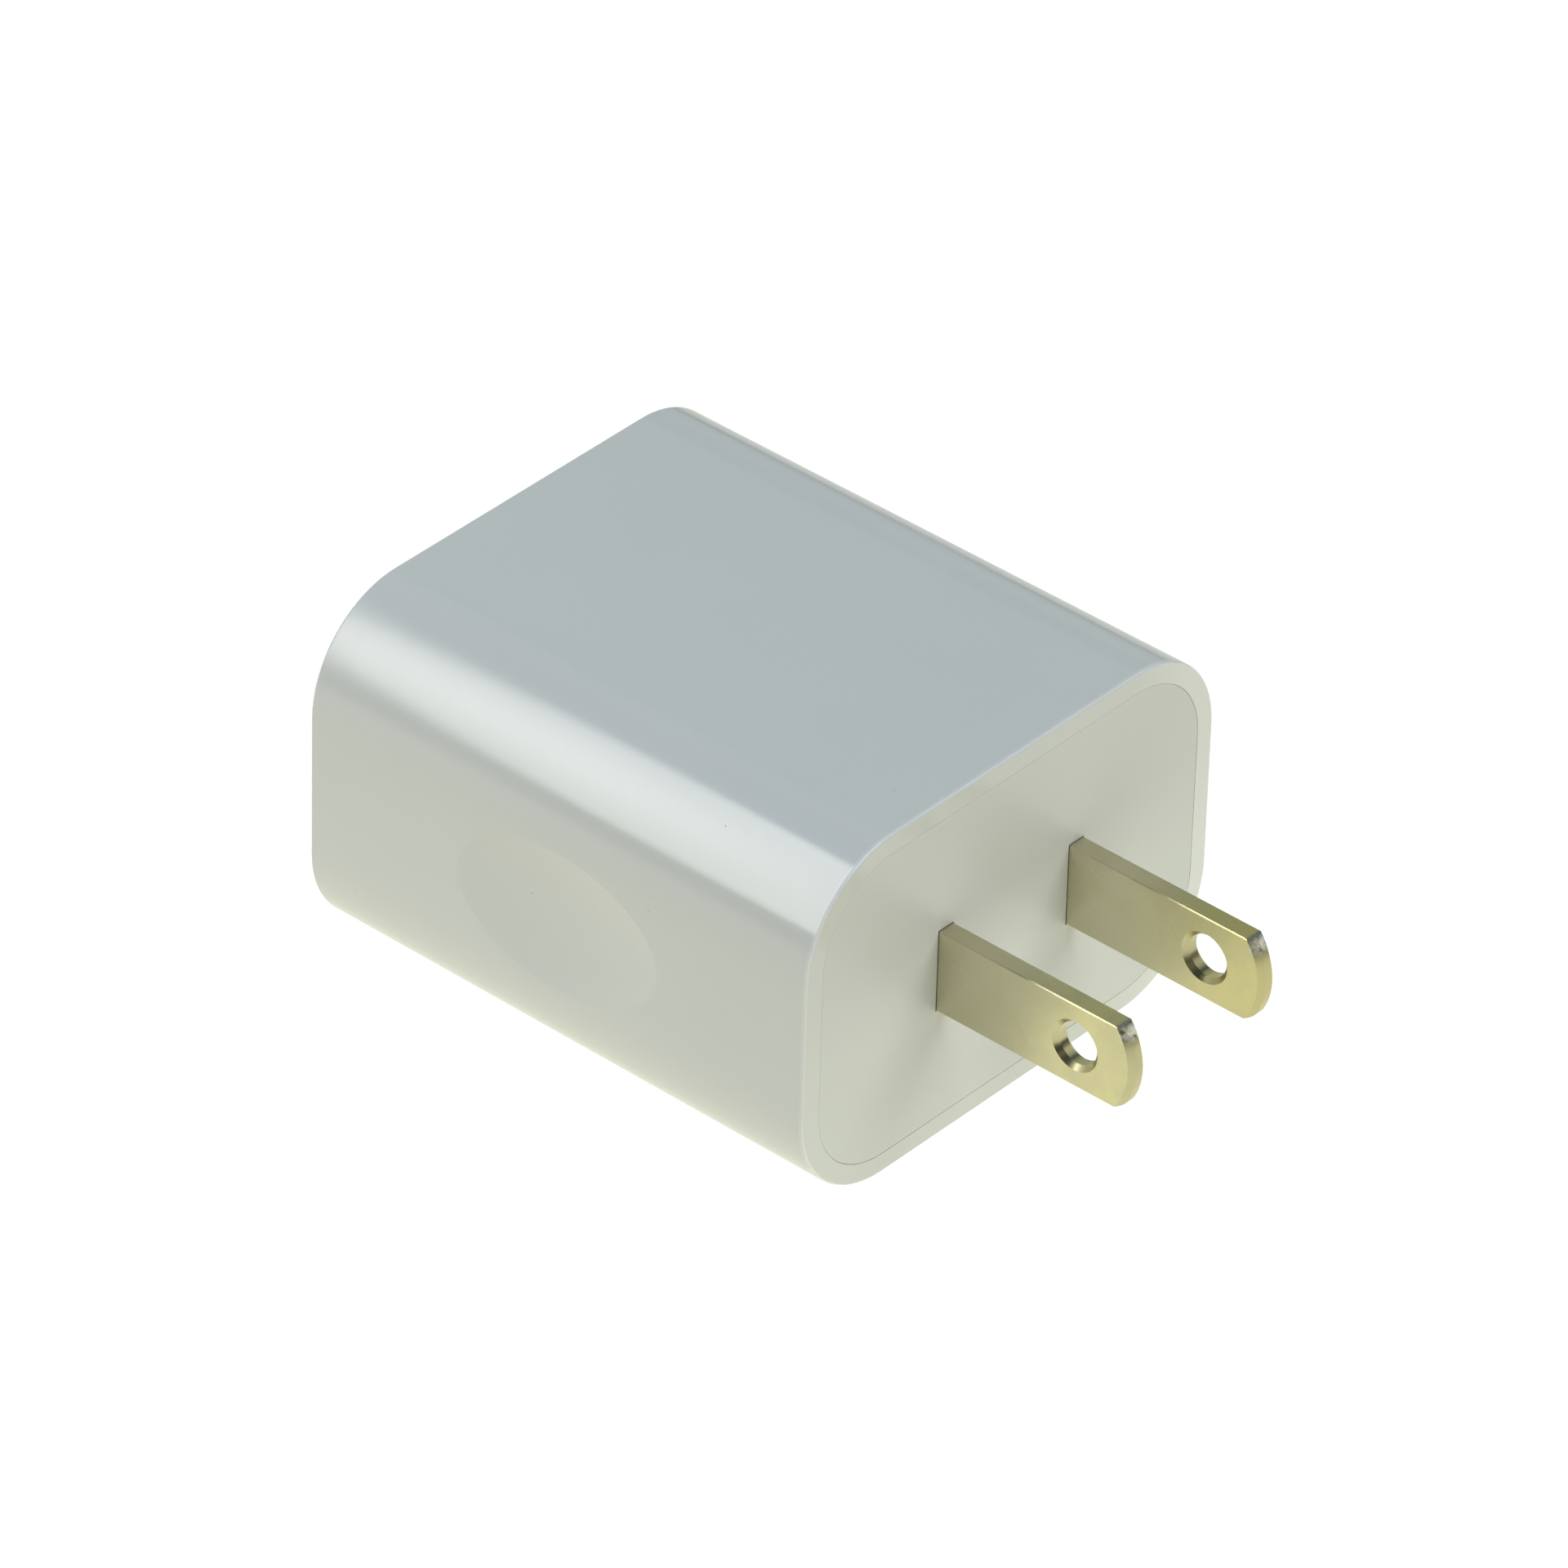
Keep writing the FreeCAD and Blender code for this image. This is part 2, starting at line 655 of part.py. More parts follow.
def make_main_board():
    """The board, with a hole for each lead and slots for the contact strips and the standing board."""
    blank = box("main_board_blank", ("board_width", "board_front - board_back", "board_thick"),
                ("-board_width / 2", "-board_front", "board_low"))
    holes = [
        rod("main_board_hole", "hole", "board_thick + 2 * overrun", x, y, "board_low - overrun")
        for places in LEADS.values()
        for x, y in places
    ]
    for side in ("-1", "1"):
        for width, depth, x, y in (
            ("strip_thick", "strip_back - strip_front", "(blade_pitch + blade_thick + strip_thick) / 2",
             "-(strip_back + strip_front) / 2"),
            ("tab_width", "board_thick", "tab_out", "board_thick / 2 - riser_face"),
        ):
            size = (f"{width} + slot_play", f"{depth} + slot_play", "board_thick + 2 * overrun")
            holes.append(plate("main_board_slot", size, f"{side} * {x}", y, "board_low - overrun"))
    return cut("main_board", blank, holes)


def make_output_board():
    """The board that stands behind the USB receptacle, with two tabs through the main board."""
    body = new_body("output_board")
    face = new_sketch(body, "XZ", "board_thick - riser_face")
    half, tab = "riser_width / 2", "tab_width / 2"
    corners = [("-1 * riser_width / 2", "riser_top"), (half, "riser_top"), (half, BOARD_TOP)]
    for side in ("1", "-1"):
        right, left = f"{side} * tab_out + {tab}", f"{side} * tab_out - {tab}"
        corners += [(right, BOARD_TOP), (right, "board_low"), (left, "board_low"), (left, BOARD_TOP)]
    corners.append(("-1 * riser_width / 2", BOARD_TOP))
    draw_polygon(face, corners)
    extrude(body, "Pad", face, "board_thick", -1)
    holes = new_sketch(body, "XZ", "board_thick - riser_face")
    for x in CONTACTS:
        draw_circle(holes, "hole", x, "-contact_thick / 2")
    extrude(body, "Pocket", holes, "board_thick", -1)
    return body


def make_solder_joints():
    """A small dome of solder under each lead."""
    domes = []
    for places in LEADS.values():
        for x, y in places:
            cone = doc.addObject("Part::Cone", "solder_joint")
            bind(cone, Radius1="solder_size / 2", Radius2="solder_size", Height="solder_height")
            domes.append(place(cone, x, y, "board_low - solder_height"))
    return group("solder_joints", domes)


def make_insulation_sheet():
    floor = "wall - body_height / 2"
    return box("insulation_sheet", ("sheet_width", "board_front - board_back", "sheet_thick"),
               ("-sheet_width / 2", "-board_front", floor))


# ---- USB receptacle ----

CONTACTS = ("-contact_outer", "-contact_inner", "contact_inner", "contact_outer")
USB_DEPTH = "usb_mouth - riser_face"


def make_usb_shell():
    """The receptacle's folded metal shell, with two sprung fingers on each wide side."""
    body = new_body("usb_tube")
    section = new_sketch(body, "XZ", "-usb_mouth")
    draw_rounded(section, "usb_width", "usb_height", "usb_corner")
    draw_rounded(section, "usb_width - 2 * usb_skin", "usb_height - 2 * usb_skin", "usb_corner - usb_skin")
    extrude(body, "Pad", section, USB_DEPTH, 1)
    windows, fingers = [], []
    window = ("finger_width + 2 * finger_gap", "finger_length + 2 * finger_gap", "usb_skin + 2 * overrun")
    reach = "finger_length + finger_gap + finger_root"
    lean = math.degrees(math.asin(number(f"finger_dip / ({reach})")))
    for x_side in ("-1", "1"):
        for z_side in (-1, 1):
            x = f"{x_side} * finger_out"
            middle = "finger_start + finger_length / 2 + finger_gap - usb_mouth"
            z = "usb_height / 2 - usb_skin" if z_side > 0 else "-usb_height / 2"
            windows.append(plate("usb_window", window, x, middle, f"{z} - overrun"))
            finger = box("usb_finger", ("finger_width", reach, "usb_skin"), ("0", "0", "0"))
            finger.Placement = Placement(Vector(), Rotation(Vector(1, 0, 0), z_side * lean))
            drop = f"{z} - {z_side} * finger_dip"
            place(finger, f"{x} - finger_width / 2", "finger_start + finger_gap - usb_mouth", drop)
            fingers.append(finger)
    return join("usb_shell", [cut("usb_pierced", body, windows), *fingers])


def make_usb_insulator():
    """The plastic block at the back of the receptacle and the tongue that carries the contacts."""
    play = "2 * usb_skin"
    block = new_body("usb_block")
    section = new_sketch(block, "XZ", "-riser_face")
    draw_rounded(section, f"usb_width - {play}", f"usb_height - {play}", "usb_corner - usb_skin")
    extrude(block, "Pad", section, "usb_block", -1)
    tongue_length = f"{USB_DEPTH} - usb_block - tongue_back"
    tongue = box("usb_tongue", ("tongue_width", tongue_length, "tongue_thick"),
                 ("-tongue_width / 2", "tongue_back - usb_mouth", "0"))
    whole = join("usb_insulator_whole", [block, tongue])
    slots = [
        plate("usb_slot", ("contact_width", "usb_block + 2 * overrun", "contact_thick"), x,
              "-riser_face - usb_block / 2", "-contact_thick")
        for x in CONTACTS
    ]
    return cut("usb_insulator", whole, slots)


def make_usb_contacts():
    """Four flat contacts under the tongue, each with a narrow tail through the standing board."""
    strips = []
    for x in CONTACTS:
        front = "tongue_back + contact_back - usb_mouth"
        flat = box("usb_contact_flat", ("contact_width", f"-riser_face - ({front})", "contact_thick"),
                   (f"{x} - contact_width / 2", front, "-contact_thick"))
        tail = box("usb_contact_tail", ("contact_width / 2", "board_thick + contact_tail", "contact_thick"),
                   (f"{x} - contact_width / 4", "-riser_face", "-contact_thick"))
        strips.append(join("usb_contact", [flat, tail]))
    return group("usb_contacts", strips)


# ---- transformer ----

CORE_INSIDE = "core_half - core_plate"


def make_core_half(name, side):
    """Half of the ferrite core: a plate with three legs that meet the other half's legs in the middle."""
    body = new_body(name)
    outline = new_sketch(body, "XZ", "coil_y + core_depth / 2")
    half, leg, centre = "core_width / 2", "core_width / 2 - core_leg", "core_centre / 2"
    outer, inner = f"{side} * core_half", f"{side} * ({CORE_INSIDE})"
    profile = [
        (f"-1 * {half}", outer), (half, outer), (half, "0"), (leg, "0"), (leg, inner), (centre, inner),
        (centre, "0"), (f"-1 * {centre}", "0"), (f"-1 * {centre}", inner), (f"-1 * ({leg})", inner),
        (f"-1 * ({leg})", "0"), (f"-1 * {half}", "0"),
    ]
    draw_polygon(outline, [(x, f"coil_z + {z}") for x, z in profile])
    extrude(body, "Pad", outline, "core_depth", -1)
    return body


def draw_ring(sketch, inner, outer):
    """Draws the section of a layer wound round the bobbin, from one distance off its tube to another."""
    for wall in (outer, inner):
        tube = f"2 * (bobbin_clear + bobbin_wall + {wall})"
        corner = f"bobbin_wall + tube_corner + {wall}"
        draw_rounded(sketch, f"core_centre + {tube}", f"core_depth + {tube}", corner, "0", "coil_y")


WINDING_HALF = f"{CORE_INSIDE} - flange - winding_gap"


def make_layer(name, inner, outer):
    """One wound layer of the transformer."""
    body = new_body(name)
    section = new_sketch(body, "XY", f"coil_z - ({WINDING_HALF})")
    draw_ring(section, inner, outer)
    extrude(body, "Pad", section, f"2 * ({WINDING_HALF})", 1)
    return body


def make_bobbin(pins):
    """The bobbin: a tube round the core's centre leg, two flanges and two feet that hold the pins."""
    tube = new_body("bobbin_tube")
    section = new_sketch(tube, "XY", f"coil_z - ({CORE_INSIDE})")
    draw_ring(section, "-bobbin_wall", "0")
    extrude(tube, "Pad", section, f"2 * ({CORE_INSIDE})", 1)
    pieces = [tube]
    for index, z in enumerate((f"coil_z - ({CORE_INSIDE})", f"coil_z + {CORE_INSIDE} - flange")):
        flange = new_body(f"bobbin_flange_{index}")
        section = new_sketch(flange, "XY", z)
        draw_rounded(section, "flange_width", "flange_depth", "flange_corner", "0", "coil_y")
        play = "2 * bobbin_clear"
        draw_rectangle(section, f"core_centre + {play}", f"core_depth + {play}", "0", "coil_y")
        extrude(flange, "Pad", section, "flange", 1)
        pieces.append(flange)
    for side in "+-":
        middle = f"coil_y {side} (flange_depth - foot_depth) / 2"
        height = f"coil_z - ({CORE_INSIDE}) - ({BOARD_TOP})"
        pieces.append(plate("bobbin_foot", ("flange_width", "foot_depth", height), "0", middle, BOARD_TOP))
    return cut("bobbin", join("bobbin_whole", pieces), pins)


LAYERS = {
    "primary_winding": "primary_wall",
    "inner_tape": "tape_wall",
    "secondary_winding": "secondary_wall",
    "outer_tape": "tape_wall",
}


def make_transformer():
    """All the transformer's sub-parts by node name, its layers from the inside out."""
    top = f"{BOARD_TOP} + pin_into"
    nodes = {
        "bobbin": make_bobbin(leads("transformer_pins", top)),
        "transformer_pins": group("transformer_pins", leads("transformer_pins", top)),
        "upper_core": make_core_half("upper_core", 1),
        "lower_core": make_core_half("lower_core", -1),
    }
    inner = "0"
    for name, wall in LAYERS.items():
        outer = f"{inner} + {wall}"
        nodes[name] = make_layer(name, inner, outer)
        inner = outer
    return nodes


# ---- parts on the board ----


def make_can(side, kind):
    """A radial capacitor: a can with a crimped neck and a bevelled top, standing on its leads."""
    name = f"{side}_{kind}_capacitor"
    radius, tall = f"{kind}_round", f"{kind}_tall"
    body = new_body(name)
    profile = new_sketch(body, "XZ")
    draw_polygon(profile, [
        ("0", "0"), (f"{radius} - can_bevel", "0"), (radius, "can_bevel"),
        (radius, "neck_at - neck_width / 2"), (f"{radius} - neck_depth", "neck_at"),
        (radius, "neck_at + neck_width / 2"), (radius, f"{tall} - can_bevel"),
        (f"{radius} - can_bevel", tall), ("0", tall),
    ])
    revolve(body, profile)
    place(body, f"-{kind}_x" if side == "left" else f"{kind}_x", f"{kind}_y", BOARD_TOP)
    return join(f"{name}_part", [body, *leads(name, f"{BOARD_TOP} + lead_into")])


def make_safety_capacitor():
    """A disc capacitor that bridges the two sides of the transformer."""
    centre = f"{BOARD_TOP} + disc_round + disc_lift"
    start = "disc_x - disc_thick / 2"
    disc = rod("safety_disc", "disc_round", "disc_thick", start, "disc_y", centre, TO_RIGHT)
    rounded = doc.addObject("Part::Fillet", "safety_disc_round")
    rounded.Base = disc
    doc.recompute()
    radius = number("disc_edge")
    ends = [n for n, edge in enumerate(disc.Shape.Edges, 1) if isinstance(edge.Curve, Part.Circle)]
    rounded.Edges = [(n, radius, radius) for n in ends]
    return join("safety_capacitor_part", [rounded, *leads("safety_capacitor", centre)])


def make_choke():
    """A drum choke: a ferrite drum on two leads, and the winding on its neck."""
    core = new_body("choke_core_drum")
    profile = new_sketch(core, "XZ")
    upper = "choke_tall - choke_plate"
    draw_polygon(profile, [
        ("0", "0"), ("choke_round", "0"), ("choke_round", "choke_plate"), ("choke_neck", "choke_plate"),
        ("choke_neck", upper), ("choke_round", upper), ("choke_round", "choke_tall"), ("0", "choke_tall"),
    ])
    revolve(core, profile)
    place(core, "choke_x", "choke_y", BOARD_TOP)
    winding = new_body("choke_winding")
    section = new_sketch(winding, "XZ")
    draw_polygon(section, [
        ("choke_neck", "choke_plate"), ("choke_round - choke_inset", "choke_plate"),
        ("choke_round - choke_inset", upper), ("choke_neck", upper),
    ])
    revolve(winding, section)
    place(winding, "choke_x", "choke_y", BOARD_TOP)
    return [join("choke_core_part", [core, *leads("choke_core", f"{BOARD_TOP} + lead_into")]), winding]


def make_axial(name, radius, long, along_x):
    """A part with a lead at each end, bent down through the board; its body lies on the board."""
    (x_first, y_first), (x_last, y_last) = LEADS[name]
    z = f"{BOARD_TOP} + {radius} + axial_lift"
    middle_x, middle_y = f"(({x_first}) + ({x_last})) / 2", f"(({y_first}) + ({y_last})) / 2"
    rotation = TO_RIGHT if along_x else TO_BACK
    if along_x:
        span = f"abs(({x_first}) - ({x_last}))"
        shaft = rod(f"{name}_shaft", "lead", span, f"{middle_x} - {span} / 2", middle_y, z, rotation)
        barrel = rod(f"{name}_barrel", radius, long, f"{middle_x} - {long} / 2", middle_y, z, rotation)
    else:
        span = f"abs(({y_first}) - ({y_last}))"
        shaft = rod(f"{name}_shaft", "lead", span, middle_x, f"{middle_y} - {span} / 2", z, rotation)
        barrel = rod(f"{name}_barrel", radius, long, middle_x, f"{middle_y} - {long} / 2", z, rotation)
    bends = [ball(f"{name}_bend", "lead", x, y, z) for x, y in LEADS[name]]
    return join(f"{name}_part", [barrel, shaft, *bends, *leads(name, z)])


def make_power_transistor():
    """A three-legged transistor with one flat side."""
    z = f"{BOARD_TOP} + transistor_lift"
    barrel = rod("transistor_round_body", "transistor_round", "transistor_tall",
                 "transistor_x", "transistor_y", z)
    flat = box("transistor_flat_side", ("transistor_round", "2 * transistor_round", "transistor_tall"),
               ("transistor_x + transistor_flat", "transistor_y - transistor_round", z))
    body = cut("transistor_body", barrel, [flat])
    return join("power_transistor_part", [body, *leads("power_transistor", f"{z} + lead_into")])


CHIP_BEVEL = 0.18
KNEE = 0.6
ALL_EDGES = range(1, 13)


def make_chip(name, legs, foot_length, under=False):
    """A moulded package with `legs` legs on each long side, on the board or under it."""
    x, y, height = f"{name}_x", f"{name}_y", f"{name}_high"
    knee = f"chip_lift + {KNEE} * {height}"
    low = f"board_low - chip_lift - {height}" if under else f"{BOARD_TOP} + chip_lift"
    bevelled = doc.addObject("Part::Chamfer", f"{name}_bevelled")
    bevelled.Base = plate(f"{name}_package", (f"{name}_wide", f"{name}_deep", height), x, y, low)
    bevel = CHIP_BEVEL * number(height)
    bevelled.Edges = [(n, bevel, bevel) for n in ALL_EDGES]
    foot_z = "board_low - leg_thick" if under else BOARD_TOP
    knee_z = f"board_low - ({knee})" if under else BOARD_TOP
    pieces = [bevelled]
    for index in range(legs):
        leg_y = f"{y} + {index - (legs - 1) / 2} * {name}_deep / {legs}"
        for side in ("-1", "1"):
            shank_x = f"{x} + {side} * ({name}_wide / 2 + leg_inner / 2 - leg_thick / 4)"
            foot_x = f"{x} + {side} * ({name}_wide / 2 + {foot_length} / 2 + leg_thick / 2)"
            shank, foot = ("leg_inner", "leg_width", knee), (foot_length, "leg_width", "leg_thick")
            pieces.append(plate(f"{name}_shank", shank, shank_x, leg_y, knee_z))
            pieces.append(plate(f"{name}_foot", foot, foot_x, leg_y, foot_z))
    return join(f"{name}_part", pieces)


def make_chip_row(name, count, pitch):
    """A row of small ceramic parts under the board, kept as one node."""
    size = (f"{name}_wide", f"{name}_deep", f"{name}_high")
    parts = [
        plate(f"{name}_piece", size, f"{name}_x + {index} * {pitch}", f"{name}_y", f"board_low - {name}_high")
        for index in range(count)
    ]
    return group(name, parts)


# ---- the assembly ----


def make_all():
    """Builds every sub-part and returns them by node name."""
    nodes = {
        "case_shell": make_case_shell(),
        "plug_cap": make_plug_cap(),
        "left_blade": make_blade("left_blade", "-1"),
        "right_blade": make_blade("right_blade", "1"),
        "left_contact_strip": make_contact_strip("left_contact_strip", "-1"),
        "right_contact_strip": make_contact_strip("right_contact_strip", "1"),
        "main_board": make_main_board(),
        "output_board": make_output_board(),
        "solder_joints": make_solder_joints(),
        "insulation_sheet": make_insulation_sheet(),
        "usb_shell": make_usb_shell(),
        "usb_insulator": make_usb_insulator(),
        "usb_contacts": make_usb_contacts(),
        "left_bulk_capacitor": make_can("left", "bulk"),
        "right_bulk_capacitor": make_can("right", "bulk"),
        "left_output_capacitor": make_can("left", "output"),
        "right_output_capacitor": make_can("right", "output"),
        "safety_capacitor": make_safety_capacitor(),
        "fuse_resistor": make_axial("fuse_resistor", "fuse_round", "fuse_long", True),
        "snubber_diode": make_axial("snubber_diode", "snub_round", "snub_long", False),
        "output_diode": make_axial("output_diode", "out_diode_round", "out_diode_long", True),
        "power_transistor": make_power_transistor(),
        "controller_chip": make_chip("controller_chip", 4, "long_foot", under=True),
        "bridge_rectifier": make_chip("bridge_rectifier", 2, "long_foot", under=True),
        "optocoupler": make_chip("optocoupler", 2, "long_foot"),
        "voltage_reference": make_chip("voltage_reference", 2, "short_foot"),
        "chip_resistors": make_chip_row("chip_resistors", 6, "resistor_pitch"),
        "chip_capacitors": make_chip_row("chip_capacitors", 3, "capacitor_pitch"),
    }
    nodes["choke_core"], nodes["choke_winding"] = make_choke()
    nodes.update(make_transformer())
    return nodes


LEAST_CUT = 1e-6


def check_and_write(nodes):
    """Stops if anything failed; otherwise writes each sub-part to its own file."""
    doc.recompute()
    for thing in doc.Objects:
        if "Invalid" in thing.State or "Error" in thing.State:
            raise SystemExit(f"{thing.Name} failed: {thing.State}")
        if thing.TypeId != "PartDesign::Pocket":
            continue
        if thing.Shape.Volume > thing.BaseFeature.Shape.Volume - LEAST_CUT:
            raise SystemExit(f"{thing.Name} cuts nothing")
    os.makedirs("parts", exist_ok=True)
    for node, thing in nodes.items():
        thing.Label = node
        if thing.Shape.isNull() or not thing.Shape.isValid() or not thing.Shape.Solids:
            raise SystemExit(f"{node} has no valid solid")
        thing.Shape.exportStep(f"parts/{node}.step")
        print(f"{node}: {len(thing.Shape.Solids)} solid(s), {thing.Shape.Volume:.1f} mm3")


check_and_write(make_all())
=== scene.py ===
"""A USB wall charger on a plain white table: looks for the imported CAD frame."""

import math

import bpy
from mathutils import Matrix, Vector


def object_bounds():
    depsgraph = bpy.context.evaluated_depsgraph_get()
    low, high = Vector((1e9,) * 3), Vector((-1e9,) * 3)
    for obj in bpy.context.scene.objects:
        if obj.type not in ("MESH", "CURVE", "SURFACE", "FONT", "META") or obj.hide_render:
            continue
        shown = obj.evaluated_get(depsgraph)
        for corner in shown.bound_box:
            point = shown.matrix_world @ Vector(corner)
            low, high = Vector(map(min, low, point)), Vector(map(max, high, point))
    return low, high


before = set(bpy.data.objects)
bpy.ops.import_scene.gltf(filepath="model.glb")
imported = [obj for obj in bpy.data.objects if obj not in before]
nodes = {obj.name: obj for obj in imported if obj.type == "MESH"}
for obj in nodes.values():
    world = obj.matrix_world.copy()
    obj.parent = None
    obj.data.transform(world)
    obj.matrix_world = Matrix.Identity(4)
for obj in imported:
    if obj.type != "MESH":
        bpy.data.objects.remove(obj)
cad_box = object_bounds()
scene = bpy.context.scene
scene.view_settings.view_transform = "Standard"
WHITE = (1.0, 1.0, 1.0)


# ---------------------------------------------------------------- camera
CAMERA = {
    "azimuth": 130.487,
    "elevation": 35.748,
    "roll": 1.691,
    "distance": 0.80953,
    "lens": 289.36,
    "target": (0.0, -0.015, 0.0),
    "aside": 0.0031376,
    "down": -0.0028330,
}
SENSOR = 36.0
CLIP = (0.01, 20.0)


def make_camera(c):
    """A camera turned to the target from the given angles, with a little roll and shift."""
    a, e, r = (math.radians(c[k]) for k in ("azimuth", "elevation", "roll"))
    back = Vector((math.sin(a) * math.cos(e), -math.cos(a) * math.cos(e), math.sin(e)))
    level = (-back).cross(Vector((0, 0, 1))).normalized()
    upright = level.cross(-back)
    side = math.cos(r) * level + math.sin(r) * upright
    top = -math.sin(r) * level + math.cos(r) * upright
    data = bpy.data.cameras.new("camera")
    data.lens = c["lens"]
    data.sensor_width = SENSOR
    data.clip_start, data.clip_end = CLIP
    camera = bpy.data.objects.new("camera", data)
    scene.collection.objects.link(camera)
    place = Vector(c["target"]) + back * c["distance"] - side * c["aside"] - top * c["down"]
    camera.matrix_world = Matrix.Translation(place) @ Matrix((side, top, back)).transposed().to_4x4()
    scene.camera = camera


make_camera(CAMERA)


# ---------------------------------------------------------------- node helpers
# What a noise mostly spans, the leans over which a slanted surface starts and ends, how much of a speck is
# its solid core, and the numbers of a Mix node's colour sockets.
NOISE_SPAN = (0.3, 0.7)
LEAN_STARTS = (0.20, 0.45)
LEAN_ENDS = (0.85, 0.98)
SPECK_CORE = 0.6
COLOR_A, COLOR_B, COLOR_OUT = 6, 7, 2


class Tree:
    """A node tree with short calls for the nodes that the looks need."""

    def __init__(self, tree):
        self.tree = tree

    def node(self, kind, inputs=None, **settings):
        made = self.tree.nodes.new("ShaderNode" + kind)
        for key, value in settings.items():
            setattr(made, key, value)
        for key, value in (inputs or {}).items():
            self.feed(made.inputs[key], value)
        return made

    def feed(self, socket, value):
        if isinstance(value, bpy.types.NodeSocket):
            self.tree.links.new(value, socket)
        elif hasattr(value, "__len__") and socket.type == "RGBA":
            socket.default_value = (*value[:3], 1.0)
        else:
            socket.default_value = value

    def math(self, operation, *values):
        made = self.node("Math", operation=operation)
        for socket, value in zip(made.inputs, values):
            self.feed(socket, value)
        return made.outputs[0]

    def remap(self, value, low, high, out_low=0.0, out_high=1.0, smooth=False):
        made = self.node(
            "MapRange",
            {
                "Value": value,
                "From Min": low,
                "From Max": high,
                "To Min": out_low,
                "To Max": out_high,
            },
            interpolation_type="SMOOTHSTEP" if smooth else "LINEAR",
        )
        return made.outputs["Result"]

    def spread(self, noise, low, high):
        """low to high over the span that a noise mostly fills."""
        return self.remap(noise, *NOISE_SPAN, low, high)

    def mix(self, factor, a, b):
        made = self.node("Mix", data_type="RGBA")
        self.feed(made.inputs["Factor"], factor)
        self.feed(made.inputs[COLOR_A], a)
        self.feed(made.inputs[COLOR_B], b)
        return made.outputs[COLOR_OUT]

    def noise(self, places, size, detail):
        inputs = {"Vector": places, "Scale": 1.0 / size, "Detail": detail}
        return self.node("TexNoise", inputs).outputs["Fac"]

    def streaks(self, places, sizes, detail):
        """Noise whose grains have their own size along X, Y and Z."""
        inputs = {"Vector": places, "Scale": tuple(1.0 / size for size in sizes)}
        return self.noise(self.node("Mapping", inputs).outputs["Vector"], 1.0, detail)

    def axes(self, places):
        return self.node("SeparateXYZ", {"Vector": places}).outputs

    def bump(self, height, strength, distance):
        inputs = {"Height": height, "Strength": strength, "Distance": distance}
        return self.node("Bump", inputs).outputs["Normal"]


class Look(Tree):
    """A material built round its own Principled shader. Its patterns follow the object's own metres."""

    def __init__(self, name):
        self.material = bpy.data.materials.new(name)
        self.material.use_nodes = True
        super().__init__(self.material.node_tree)
        self.shader = self.tree.nodes["Principled BSDF"]
        coordinates = self.node("TexCoord").outputs
        self.places = coordinates["Object"]
        self.spans = coordinates["Generated"]
        self.facing = coordinates["Normal"]

    def square(self, value):
        return self.math("MULTIPLY", value, value)

    def waves(self, value, pitch):
        return self.math("SINE", self.math("MULTIPLY", value, math.tau / pitch))

    def specks(self, spacing, share):
        """1 inside small round specks, one to a cell of the given spacing. share is their relative size."""
        inputs = {"Vector": self.places, "Scale": 1 / spacing}
        distance = self.node("TexVoronoi", inputs, feature="F1").outputs["Distance"]
        return self.remap(distance, share, share * SPECK_CORE)

    def slanted(self, axis):
        """1 where the surface leans half way between the axis and the directions square to it."""
        lean = self.math("ABSOLUTE", self.axes(self.facing)[axis])
        leaves = self.remap(lean, *LEAN_STARTS, smooth=True)
        arrives = self.remap(lean, *LEAN_ENDS, 1.0, 0.0, smooth=True)
        return self.math("MULTIPLY", leaves, arrives)

    def set(self, **inputs):
        for key, value in inputs.items():
            self.feed(self.shader.inputs[key.replace("_", " ")], value)


# ---------------------------------------------------------------- light and floor
# The table's glow is even as far as TABLE_NEAR from the object and fades to FAR_GLOW at TABLE_REACH. Within
# NEAR_REACH of the object it is stronger, by NEAR_GLOW at most.
TABLE_GLOW = (0.75, 0.76, 0.635)
TABLE_NEAR = 0.08
TABLE_REACH = 0.42
FAR_GLOW = 0.08
NEAR_GLOW = 0.20
NEAR_REACH = 0.030
FLOOR_HALF = 3.0
FLOOR_BELOW = 0.00003
ROOM = (0.030, 0.030, 0.026)
ZENITH = (0.21, 0.52, 1.00)
ZENITH_FROM = 0.80
